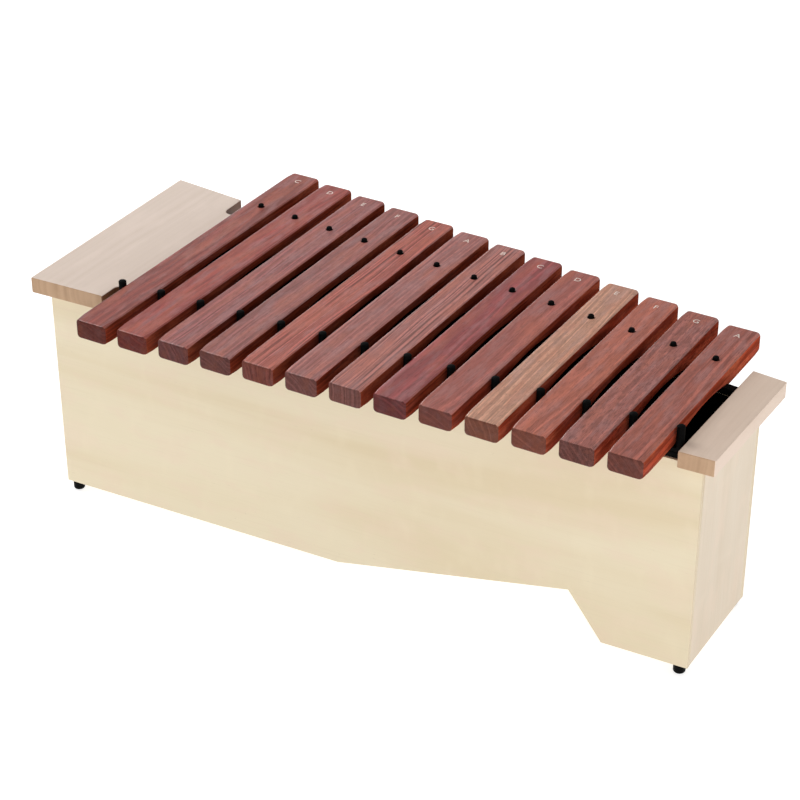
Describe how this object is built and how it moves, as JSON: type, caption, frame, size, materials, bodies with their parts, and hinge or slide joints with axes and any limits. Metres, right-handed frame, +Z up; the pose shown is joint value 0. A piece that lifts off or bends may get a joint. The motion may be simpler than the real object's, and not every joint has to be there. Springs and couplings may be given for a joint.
{
  "type": "xylophone",
  "caption": "Diatonic alto xylophone with rosewood bars that lift off their pegs, on a tapered plywood resonator box with a stepped underside.",
  "frame": {"origin": "middle of the bounding box, on the plane that the feet stand on", "axes": "+X towards the high notes at the player's right, +Y away from the player along the bars, +Z up"},
  "size_m": [0.76, 0.398, 0.2747],
  "materials": {
    "rosewood": "oiled satin, reddish brown with dark and light streaks along each bar",
    "birch_plywood": "clear satin lacquer on pale birch veneer, chamber stained black inside",
    "top_boards": "clear satin lacquer on pale close-grained wood",
    "black_felt": "matt black wool felt",
    "peg_rubber": "black moulded rubber",
    "foot_rubber": "black moulded rubber, slightly glossy"
  },
  "bodies": {
    "box": {"front_panel": "birch_plywood", "back_panel": "birch_plywood", "left_end_panel": "birch_plywood", "right_end_panel": "birch_plywood", "bottom_board": "birch_plywood", "sloped_board": "birch_plywood", "leg_riser": "birch_plywood", "leg_bottom": "birch_plywood", "partition": "birch_plywood", "left_top_board": "top_boards", "right_cap": "top_boards", "front_felt_strip": "black_felt", "back_felt_strip": "black_felt", "front_peg_1": "peg_rubber", "front_peg_2": "peg_rubber", "front_peg_3": "peg_rubber", "front_peg_4": "peg_rubber", "front_peg_5": "peg_rubber", "front_peg_6": "peg_rubber", "front_peg_7": "peg_rubber", "front_peg_8": "peg_rubber", "front_peg_9": "peg_rubber", "front_peg_10": "peg_rubber", "front_peg_11": "peg_rubber", "front_peg_12": "peg_rubber", "front_peg_13": "peg_rubber", "front_peg_14": "peg_rubber", "rear_peg_1": "peg_rubber", "rear_peg_2": "peg_rubber", "rear_peg_3": "peg_rubber", "rear_peg_4": "peg_rubber", "rear_peg_5": "peg_rubber", "rear_peg_6": "peg_rubber", "rear_peg_7": "peg_rubber", "rear_peg_8": "peg_rubber", "rear_peg_9": "peg_rubber", "rear_peg_10": "peg_rubber", "rear_peg_11": "peg_rubber", "rear_peg_12": "peg_rubber", "rear_peg_13": "peg_rubber", "foot_front_left": "foot_rubber", "foot_front_right": "foot_rubber", "foot_back_left": "foot_rubber", "foot_back_right": "foot_rubber"},
    "bar_01_c": {"bar_01_c": "rosewood"},
    "bar_02_d": {"bar_02_d": "rosewood"},
    "bar_03_e": {"bar_03_e": "rosewood"},
    "bar_04_f": {"bar_04_f": "rosewood"},
    "bar_05_g": {"bar_05_g": "rosewood"},
    "bar_06_a": {"bar_06_a": "rosewood"},
    "bar_07_b": {"bar_07_b": "rosewood"},
    "bar_08_c": {"bar_08_c": "rosewood"},
    "bar_09_d": {"bar_09_d": "rosewood"},
    "bar_10_e": {"bar_10_e": "rosewood"},
    "bar_11_f": {"bar_11_f": "rosewood"},
    "bar_12_g": {"bar_12_g": "rosewood"},
    "bar_13_a": {"bar_13_a": "rosewood"}
  },
  "joints": [
    {"name": "bar_01_c_lift", "type": "slide", "parent": "box", "child": "bar_01_c", "axis": [0, 0, 1], "range_m": [0, 0.06]},
    {"name": "bar_02_d_lift", "type": "slide", "parent": "box", "child": "bar_02_d", "axis": [0, 0, 1], "range_m": [0, 0.06]},
    {"name": "bar_03_e_lift", "type": "slide", "parent": "box", "child": "bar_03_e", "axis": [0, 0, 1], "range_m": [0, 0.06]},
    {"name": "bar_04_f_lift", "type": "slide", "parent": "box", "child": "bar_04_f", "axis": [0, 0, 1], "range_m": [0, 0.06]},
    {"name": "bar_05_g_lift", "type": "slide", "parent": "box", "child": "bar_05_g", "axis": [0, 0, 1], "range_m": [0, 0.06]},
    {"name": "bar_06_a_lift", "type": "slide", "parent": "box", "child": "bar_06_a", "axis": [0, 0, 1], "range_m": [0, 0.06]},
    {"name": "bar_07_b_lift", "type": "slide", "parent": "box", "child": "bar_07_b", "axis": [0, 0, 1], "range_m": [0, 0.06]},
    {"name": "bar_08_c_lift", "type": "slide", "parent": "box", "child": "bar_08_c", "axis": [0, 0, 1], "range_m": [0, 0.06]},
    {"name": "bar_09_d_lift", "type": "slide", "parent": "box", "child": "bar_09_d", "axis": [0, 0, 1], "range_m": [0, 0.06]},
    {"name": "bar_10_e_lift", "type": "slide", "parent": "box", "child": "bar_10_e", "axis": [0, 0, 1], "range_m": [0, 0.06]},
    {"name": "bar_11_f_lift", "type": "slide", "parent": "box", "child": "bar_11_f", "axis": [0, 0, 1], "range_m": [0, 0.06]},
    {"name": "bar_12_g_lift", "type": "slide", "parent": "box", "child": "bar_12_g", "axis": [0, 0, 1], "range_m": [0, 0.06]},
    {"name": "bar_13_a_lift", "type": "slide", "parent": "box", "child": "bar_13_a", "axis": [0, 0, 1], "range_m": [0, 0.06]}
  ]
}
